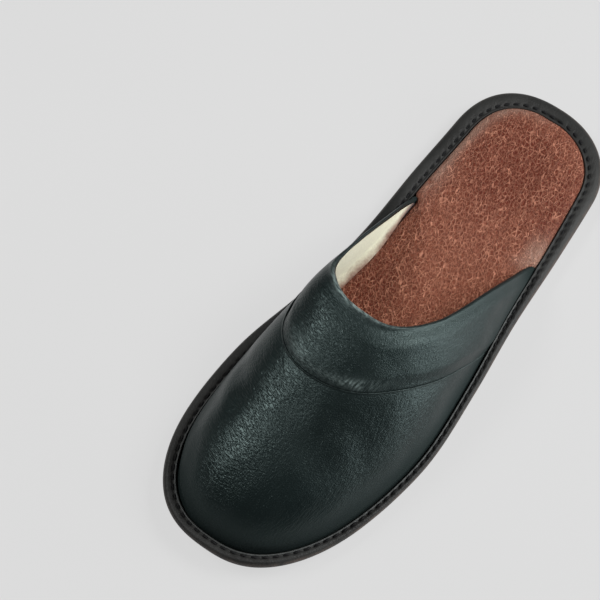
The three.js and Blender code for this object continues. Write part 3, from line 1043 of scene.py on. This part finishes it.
# Creases of the vamp and band: from and to (place along the foot, angle round the arch in degrees),
# width, and height, negative for a trough
VAMP_CREASES = (
    ((206, 34), (226, 62), 5.0, -0.35),
    ((214, 30), (236, 56), 4.5, 0.3),
    ((196, 22), (214, 44), 4.0, -0.3),
    ((204, 112), (222, 150), 6.0, -0.3),
    ((214, 118), (234, 152), 6.0, 0.22),
    ((236, 60), (252, 96), 7.0, -0.25),
    ((176, 150), (200, 158), 4.0, -0.3),
)
BAND_CREASES = (
    ((132, 22), (150, 40), 3.5, -0.45),
    ((120, 20), (144, 33), 3.0, 0.35),
    ((160, 48), (172, 60), 4.0, 0.3),
    ((128, 150), (150, 140), 4.5, -0.4),
    ((112, 160), (128, 158), 3.0, -0.35),
    ((150, 128), (166, 118), 5.0, 0.25),
)
DEGREE = 0.78  # millimetres round the arch for a degree, near enough for creases


def creased(x, angle, creases):
    """Sum of soft troughs and ridges, each along a line on the last."""
    arc = np.degrees(angle) * DEGREE
    total = np.zeros(np.broadcast(x, arc).shape)
    for (x0, a0), (x1, a1), width, height in creases:
        run = np.array([x1 - x0, (a1 - a0) * DEGREE])
        span = np.hypot(*run)
        run = run / span
        du, dv = x - x0, arc - a0 * DEGREE
        along = du * run[0] + dv * run[1]
        bow = 0.06 * span * np.sin(np.pi * np.clip(along / span, 0, 1))
        away = -du * run[1] + dv * run[0] - bow
        begin = smoothstep(along, -0.25 * span, 0.3 * span)
        end = 1 - smoothstep(along, 0.7 * span, 1.25 * span)
        total += height * hump(away, 0.0, width) * (begin * end)
    return total


def waves(x, y, seed):
    """Low smooth unevenness of hand-lasted leather, about one high, from a few fixed sines."""
    draw = np.random.default_rng(seed)
    total = 0.0
    for _ in range(9):
        direction = draw.uniform(0, 2 * np.pi)
        size = draw.uniform(14, 46)
        phase = draw.uniform(0, 2 * np.pi)
        along = x * np.cos(direction) + y * np.sin(direction)
        total = total + np.sin(along * 2 * np.pi / size + phase)
    return total / 3


def foot_share(x, points):
    """0 at the foot of the upper and 1 once it is well above the rand."""
    return smoothstep(points[..., 2] - deck_z(x), 5.0, 13.0)


def drawn_in(sizes, x, points):
    """How far the upper draws in just above the rand, as a lift below zero."""
    return -sizes.feather / MM * hump(points[..., 2] - deck_z(x), 5.6, 2.6)


def wrinkle_mark(x, angle):
    """Where the upper's leather is most wrinkled: over the inner shoulder and at the seam's middle."""
    degrees = np.degrees(angle)
    shoulder = hump(degrees, 72, 18) * smoothstep(x, 135, 165) * (1 - smoothstep(x, 246, 264))
    outer = 0.3 * hump(degrees, 140, 20)
    return np.clip(0.06 + shoulder + outer, 0, 1.1)


def inner_share(angle):
    """1 on the inner side of the arch and 0 on the outer one."""
    return 1 - smoothstep(np.degrees(angle), 88, 112)


SEAM_ROWS = np.array([0.0, 0.06, 0.16, 0.3, 0.45, 0.6, 0.8, 1.0, 1.25, 1.55, 1.9, 2.4, 3.1, 4.0])
SEAM_EDGE = 0.45


def build_vamp(sizes, colours):
    angles = arch_angles(301)
    degrees = np.degrees(angles)
    seam = EdgeLine(SEAM_LINE, angles)
    skin, bead, tip = sizes.skin / MM, sizes.bead / MM, toe_tip(0.0)
    shares = np.sin(np.pi / 2 * np.linspace(0, 1, 150))[1:]
    start = seam.x + SEAM_ROWS[-1] / seam.reach
    x = np.concatenate(
        [seam.x + SEAM_ROWS[:, None] / seam.reach, start + (tip - start) * shares[:, None]]
    )
    away = (x - seam.x) * seam.reach
    outer = last_point(x, angles, 0.0)
    foot = foot_share(x, outer)
    shown = 0.15 + 0.85 * smoothstep(degrees, 46, 66)
    lift = bead * shown * round_off(1 - away / 0.4, 2.0) * (1 - smoothstep(away, 0.45, 0.85))
    lift = lift - 0.14 * hump(away, 1.3, 0.45) * hump(degrees, 72, 34)
    lift = lift * (0.35 + 0.65 * foot)
    field = creased(x, angles, VAMP_CREASES) + 0.12 * waves(x, degrees * DEGREE, 5)
    lift = lift + field * foot * smoothstep(away, 1.5, 8.0) + drawn_in(sizes, x, outer)
    lift = lift * (1 - smoothstep(x, tip - 6, tip - 1))
    outer = outer + last_normal(np.minimum(x, tip - 0.2), angles) * lift[..., None]
    inner_x = np.minimum(x, seam.x + (x - seam.x) * (toe_tip(skin) - seam.x) / (tip - seam.x))
    inner = last_point(inner_x, angles, skin)
    for row, closing in enumerate(round_off(1 - SEAM_ROWS / SEAM_EDGE, 2.0)):
        middle = (outer[row] + inner[row]) / 2
        outer[row] = middle + (outer[row] - middle) * closing
        inner[row] = middle + (inner[row] - middle) * closing
    marks = {
        "wrinkle": wrinkle_mark(x, angles) * smoothstep(away, 0.5, 5.0),
        # Painted highlight along the seam fold's edge
        "rub": 0.17 * hump(away, 0.25, 0.35) * (0.35 + 0.65 * smoothstep(degrees, 100, 125)),
        "inner": np.broadcast_to(inner_share(angles), x.shape),
    }
    leather = upper_leather(colours, sizes, "upper_leather_green_black", sizes.grain_cell)
    finish_piece(shell_of("vamp_leather", outer, inner, marks), leather, "upper_leather", "upper")


def lining_cove(height):
    """How far the lining comes in over the insole's rolled edge, by its height over the deck."""
    rise = np.interp(height, (0, 3.6, 4.6, 5.4, 6.3, 6.9, 7.2), (0, 0, 0.25, 0.75, 2.0, 3.0, 3.4))
    fall = 3.4 * (1 - np.clip((height - 7.2) / 7.5, 0, 1)) ** 2.6
    return np.where(height < 7.2, rise, fall)


def build_lining(colours):
    angles = arch_angles(281)
    collar = EdgeLine(COLLAR_LINE, angles)
    start = collar.x + 1.3 / collar.reach
    shares = np.sin(np.pi / 2 * np.linspace(0, 1, 90))[:, None]
    behind, x = (start + (toe_tip(inset) - start) * shares for inset in (WALL - LINING, WALL))
    outer, inner = last_point(behind, angles, WALL - LINING), last_point(x, angles, WALL)
    level = inner[..., 2] - deck_z(x)
    uneven = np.clip(0.12 * waves(x, np.degrees(angles) * DEGREE, 11), 0, None)
    fade = foot_share(x, inner) * (1 - smoothstep(x, 240, 262))
    cove = lining_cove(level) * smoothstep(x, 84, 122)
    cove = cove * (1 - smoothstep(x, 225, 255))
    normal = last_normal(np.minimum(x, toe_tip(0.0) - 3.0), angles)
    inwards = normal * np.array([1.0, 1.0, 0.25])
    inner = inner - inwards * (uneven * fade + cove)[..., None]
    piece = shell_of("lining_textile", outer, inner, {"level": level})
    finish_piece(piece, lining_cloth(colours), "upper_leather", "upper")


def puckers(degrees, from_seam):
    """Short slanted gathers along the middle of the cross seam, from -1 in a trough to 1 on a crest."""
    arc = degrees * DEGREE
    drift = 1.4 * np.sin(arc / 4.1) + 0.9 * np.sin(arc / 2.3 + 1.0) + 0.5 * np.sin(from_seam / 1.1)
    gathers = np.sin(2 * np.pi * (arc - 0.15 * from_seam) / 1.7 + drift)
    return gathers * (0.65 + 0.35 * np.sin(arc / 3.3 + from_seam / 1.7))


def pucker_share(degrees, from_seam):
    """How much of the puckers shows: most at the seam's middle, within a few millimetres of it."""
    return (hump(degrees, 104, 13) + 0.3 * hump(degrees, 80, 14)) * hump(from_seam, 3.0, 2.2)


def band_lift(sizes, x, angle, from_rim, from_seam, foot):
    """Height of the padded band over the last between its rim and the cross seam."""
    degrees = np.degrees(angle)
    outer_side = smoothstep(degrees, 104, 132)
    low_inside = 1 - smoothstep(degrees, 40, 64)
    proud = sizes.band_proud / MM * (0.3 + 0.7 * foot) * (1 - 0.55 * outer_side - 0.85 * low_inside)
    rise_from_rim = smoothstep(from_rim, 2.0 - 2.5 * outer_side, 12.0 - 5.0 * outer_side)
    full = rise_from_rim * smoothstep(from_seam, 0.4, 7.0)
    lift = proud + sizes.band_belly / MM * full * (0.35 + 0.65 * foot)
    crisp = hump(degrees, 84, 32) * foot
    lift = lift - sizes.trough / MM * hump(from_rim, 3.2, 1.9) * crisp
    lift = lift + (sizes.rim_out / MM - proud) * hump(from_rim, 0.3, 1.3) * crisp
    lift = lift - 1.1 * hump(from_rim, 0.0, 4.2) * (1 - crisp) * foot
    roll = 1 - round_off(1 - from_seam / (2.0 - 0.8 * outer_side), 2.2)
    lift = lift - (proud + 0.05) * roll
    gathers = sizes.pucker / MM * puckers(degrees, from_seam) + 0.5
    lift = lift + gathers * pucker_share(degrees, from_seam) * foot
    shoulder = hump(degrees, 72, 15)
    puff = 0.55 * shoulder * hump(from_seam, 3.6, 3.0) - 0.22 * shoulder * hump(from_seam, 1.1, 0.4)
    slim = 2.3 * hump(degrees, 26, 17) * (1 - smoothstep(from_rim, 14.0, 34.0)) * foot
    folds = creased(x, angle, BAND_CREASES) + 0.14 * waves(x, degrees * DEGREE, 23)
    return lift + puff * foot + folds * full * foot - slim


BAND_ROWS, ROLL_ROWS, TURN_IN_ROWS = 64, 18, 14


def build_cuff(sizes, colours):
    angles = arch_angles(341)
    degrees = np.degrees(angles)
    collar, seam = EdgeLine(COLLAR_LINE, angles), EdgeLine(SEAM_LINE, angles)
    reach, skin = sizes.rim_reach / MM, sizes.skin / MM
    rim_x = collar.x + reach / collar.reach
    rim_point, rim_normal = last_point(rim_x, angles, 0.0), last_normal(rim_x, angles)

    # The band's face, from its tuck under the vamp back to the rim
    shares = np.linspace(0, 1, BAND_ROWS + 1)
    shares = shares - 0.09 * np.sin(2 * np.pi * shares)
    stop = seam.x + 1.4 / seam.reach
    x = stop + (rim_x - stop) * shares[:, None]
    points, normal = last_point(x, angles, 0.0), last_normal(x, angles)
    from_rim = (x - collar.x) * collar.reach
    from_seam = (seam.x - x) * seam.reach
    foot = foot_share(x, points)
    lift = band_lift(sizes, x, angles, from_rim, np.clip(from_seam, 0, None), foot)
    lift = lift - smoothstep(-from_seam, 0.1, 0.75)
    lift = np.maximum(lift + drawn_in(sizes, x, points) * (0.5 + 0.5 * foot), -1.5)
    depth_in = np.minimum(-(skin + 0.02), lift - 0.35)
    outer, inner = [*(points + normal * lift[..., None])], [*(points + normal * depth_in[..., None])]

    # The collar roll over the rim
    top = lift[-1]
    bottom = -(WALL + 0.15 + (sizes.rim_in / MM - WALL - 0.15) * foot_share(rim_x, rim_point))
    middle, half = (top + bottom) / 2, (top - bottom) / 2
    for turn in np.linspace(0, np.pi, ROLL_ROWS + 1)[1:]:
        out, down = np.sin(turn), np.cos(turn)
        for rows, back, tall in ((outer, reach, half), (inner, 0.9, np.maximum(half - 1.0, 0.35))):
            up = (middle + tall * down)[:, None]
            rows.append(rim_point + collar.back * (back * out) + rim_normal * up)

    # Its leather turned in against the lining
    depth = sizes.turn_in / MM
    for share in np.linspace(0, 1, TURN_IN_ROWS + 1)[1:]:
        at = rim_x + share * depth / collar.reach
        point, facing = last_point(at, angles, 0.0), last_normal(at, angles)
        thick = (-bottom - WALL - 0.05) * round_off((share - 0.45) / 0.55, 2.0)
        outer.append(point - facing * (WALL + 0.05 + thick)[:, None])
        inner.append(point - facing * (WALL + 0.05))
    outer, inner = np.stack(outer), np.stack(inner)
    outer[0] = inner[0] = (outer[0] + inner[0]) / 2

    wrinkle, rub = np.zeros(outer.shape[:2]), np.zeros(outer.shape[:2])
    face = slice(BAND_ROWS + 1)
    wrinkle[face] = wrinkle_mark(x, angles) * smoothstep(from_rim, 2.0, 7.0)
    # Painted highlight, partly wear: the collar roll's line, the crests of the seam gathers and a patch on
    # the band's puff
    rub[face] = 1.1 * hump(from_rim, 0.0, 1.7)
    rub[BAND_ROWS + 1 : BAND_ROWS + 1 + ROLL_ROWS // 2] = 1.15
    rub = rub * hump(degrees, 84, 20)
    crests = 0.35 + 0.5 * np.clip(puckers(degrees, from_seam), 0, 1)
    patch = 0.4 * hump(degrees, 73, 9) * hump(from_seam, 5.0, 3.6)
    rub[face] += crests * pucker_share(degrees, from_seam) + patch
    marks = {"wrinkle": wrinkle, "rub": rub, "inner": np.broadcast_to(inner_share(angles), rub.shape)}
    piece = shell_of("collar_cuff", outer, inner, marks)
    leather = upper_leather(colours, sizes, "band_leather_green_black", sizes.grain_cell * 0.8)
    finish_piece(piece, leather, "band_leather", "collar_band")


# ---------------------------------------------------------------- stage

CAMERA_TARGET = (0.0216, -0.03764, 0.02)
LIGHT_TARGET = (0.03, 0.0, 0.03)
FLOOR_HALF, FLOOR_DROP = 2.5, 0.00015


def area_light(name, place, width, depth, power, tint=(1.0, 1.0, 1.0)):
    data = bpy.data.lights.new(name, "AREA")
    data.shape, data.size, data.size_y = "RECTANGLE", width, depth
    data.energy, data.color = power, tint
    lamp = linked(name, data)
    lamp.location = place
    lamp.rotation_mode = "QUATERNION"
    lamp.rotation_quaternion = (Vector(LIGHT_TARGET) - Vector(place)).to_track_quat("-Z", "Y")


def build_floor(stage, colours):
    mesh = bpy.data.meshes.new("studio_floor")
    square = ((-1, -1), (1, -1), (1, 1), (-1, 1))
    corners = [(x * FLOOR_HALF, y * FLOOR_HALF, -FLOOR_DROP) for x, y in square]
    mesh.from_pydata(corners, [], [(0, 1, 2, 3)])
    floor = linked("studio_floor", mesh)
    f = Finish("floor_pale")
    tone = f.mixed(f.noise(3.0, 2.0, 0.5).step(0.3, 0.7), shade(colours.floor, 0.985), shade(colours.floor))
    material = f.close(
        base_color=shade(colours.floor, 0.75 * (1 - stage.floor_glow)),
        roughness=0.9,
        specular_ior_level=0.0,
        emission_color=tone,
        emission_strength=stage.floor_glow,
    )
    mesh.materials.append(material)


def build_camera(stage):
    a, e, r = stage.azimuth, stage.elevation, stage.roll
    back = Vector((math.sin(a) * math.cos(e), -math.cos(a) * math.cos(e), math.sin(e)))
    right = Vector((math.cos(a), math.sin(a), 0))
    up = back.cross(right)
    turned_right = right * math.cos(r) + up * math.sin(r)
    turned_up = up * math.cos(r) - right * math.sin(r)
    data = bpy.data.cameras.new("photo_camera")
    data.sensor_width = 36.0
    data.lens = stage.lens
    data.clip_start, data.clip_end = 0.05, 20.0
    camera = linked("photo_camera", data)
    place = Vector(CAMERA_TARGET) + back * stage.distance
    axes = Matrix((turned_right, turned_up, back)).transposed().to_4x4()
    camera.matrix_world = Matrix.Translation(place) @ axes
    bpy.context.scene.camera = camera


def build_stage(stage, colours):
    build_floor(stage, colours)
    build_camera(stage)
    area_light("inner_softbox", (0.24, -0.54, 0.83), 0.5, 0.26, stage.medial_light)
    area_light("outer_softbox", (-0.33, 0.86, 0.2), 0.7, 0.42, stage.lateral_light, (0.94, 0.98, 1.0))
    area_light("key_softbox", (-0.49, 0.57, 0.89), 0.6, 0.5, stage.key_light)
    scene = bpy.context.scene
    world = bpy.data.worlds.new("studio_surround")
    world.use_nodes = True
    background = world.node_tree.nodes["Background"]
    background.inputs["Color"].default_value = (1, 1, 1, 1)
    background.inputs["Strength"].default_value = stage.world_light
    scene.world = world
    scene.view_settings.view_transform = "Standard"
    scene.view_settings.look = "None"
    scene.view_settings.exposure = 0.0
    scene.view_settings.gamma = 1.0


# ---------------------------------------------------------------- operators, panel and registration

class SLIPPER_OT_outsole(bpy.types.Operator):
    """Moulded outsole with grooved tread"""

    bl_idname = "slipper.outsole"
    bl_label = "Outsole"

    def execute(self, context):
        build_outsole(context.scene.slipper_colours)
        return {"FINISHED"}


class SLIPPER_OT_rand(bpy.types.Operator):
    """Rolled rand strip with its fold and stitch puckers"""

    bl_idname = "slipper.rand"
    bl_label = "Rand"

    def execute(self, context):
        build_rand(context.scene.slipper_sizes, context.scene.slipper_colours)
        return {"FINISHED"}


class SLIPPER_OT_stitches(bpy.types.Operator):
    """Row of waxed stitches round the rand"""

    bl_idname = "slipper.stitches"
    bl_label = "Rand stitches"

    def execute(self, context):
        build_stitches(context.scene.slipper_sizes, context.scene.slipper_colours)
        return {"FINISHED"}


class SLIPPER_OT_insole(bpy.types.Operator):
    """Padded insole with rolled edges"""

    bl_idname = "slipper.insole"
    bl_label = "Insole"

    def execute(self, context):
        build_insole(context.scene.slipper_sizes, context.scene.slipper_colours)
        return {"FINISHED"}


class SLIPPER_OT_vamp(bpy.types.Operator):
    """Vamp from the cross seam to the toe"""

    bl_idname = "slipper.vamp"
    bl_label = "Vamp"

    def execute(self, context):
        build_vamp(context.scene.slipper_sizes, context.scene.slipper_colours)
        return {"FINISHED"}


class SLIPPER_OT_lining(bpy.types.Operator):
    """Textile lining of the upper"""

    bl_idname = "slipper.lining"
    bl_label = "Lining"

    def execute(self, context):
        build_lining(context.scene.slipper_colours)
        return {"FINISHED"}


class SLIPPER_OT_cuff(bpy.types.Operator):
    """Padded collar band with its rolled rim"""

    bl_idname = "slipper.cuff"
    bl_label = "Collar cuff"

    def execute(self, context):
        build_cuff(context.scene.slipper_sizes, context.scene.slipper_colours)
        return {"FINISHED"}


class SLIPPER_OT_stage(bpy.types.Operator):
    """Pale floor, soft lights and camera"""

    bl_idname = "slipper.stage"
    bl_label = "Stage"

    def execute(self, context):
        build_stage(context.scene.slipper_stage, context.scene.slipper_colours)
        return {"FINISHED"}


OPERATORS = (
    SLIPPER_OT_outsole,
    SLIPPER_OT_rand,
    SLIPPER_OT_stitches,
    SLIPPER_OT_insole,
    SLIPPER_OT_vamp,
    SLIPPER_OT_lining,
    SLIPPER_OT_cuff,
    SLIPPER_OT_stage,
)


class SLIPPER_PT_panel(bpy.types.Panel):
    """The slipper's pieces, sizes and colours"""

    bl_idname = "SLIPPER_PT_panel"
    bl_label = "Slipper"
    bl_space_type = "VIEW_3D"
    bl_region_type = "UI"
    bl_category = "Slipper"

    def draw(self, context):
        for operator in OPERATORS:
            self.layout.operator(operator.bl_idname)
        for group in GROUPS:
            chosen, column = getattr(context.scene, group), self.layout.column()
            for name in chosen.bl_rna.properties.keys():
                if name not in ("rna_type", "name"):
                    column.prop(chosen, name)


GROUPS = {
    "slipper_sizes": SlipperSizes,
    "slipper_colours": SlipperColours,
    "slipper_stage": SlipperStage,
}


def register():
    for group in GROUPS.values():
        bpy.utils.register_class(group)
    for name, group in GROUPS.items():
        setattr(bpy.types.Scene, name, bpy.props.PointerProperty(type=group))
    for operator in OPERATORS:
        bpy.utils.register_class(operator)
    bpy.utils.register_class(SLIPPER_PT_panel)


def unregister():
    bpy.utils.unregister_class(SLIPPER_PT_panel)
    for operator in reversed(OPERATORS):
        bpy.utils.unregister_class(operator)
    for name in GROUPS:
        delattr(bpy.types.Scene, name)
    for group in GROUPS.values():
        bpy.utils.unregister_class(group)


def main():
    register()
    bpy.ops.slipper.outsole()
    bpy.ops.slipper.rand()
    bpy.ops.slipper.stitches()
    bpy.ops.slipper.insole()
    bpy.ops.slipper.vamp()
    bpy.ops.slipper.lining()
    bpy.ops.slipper.cuff()
    bpy.ops.slipper.stage()


if __name__ == "__main__":
    main()
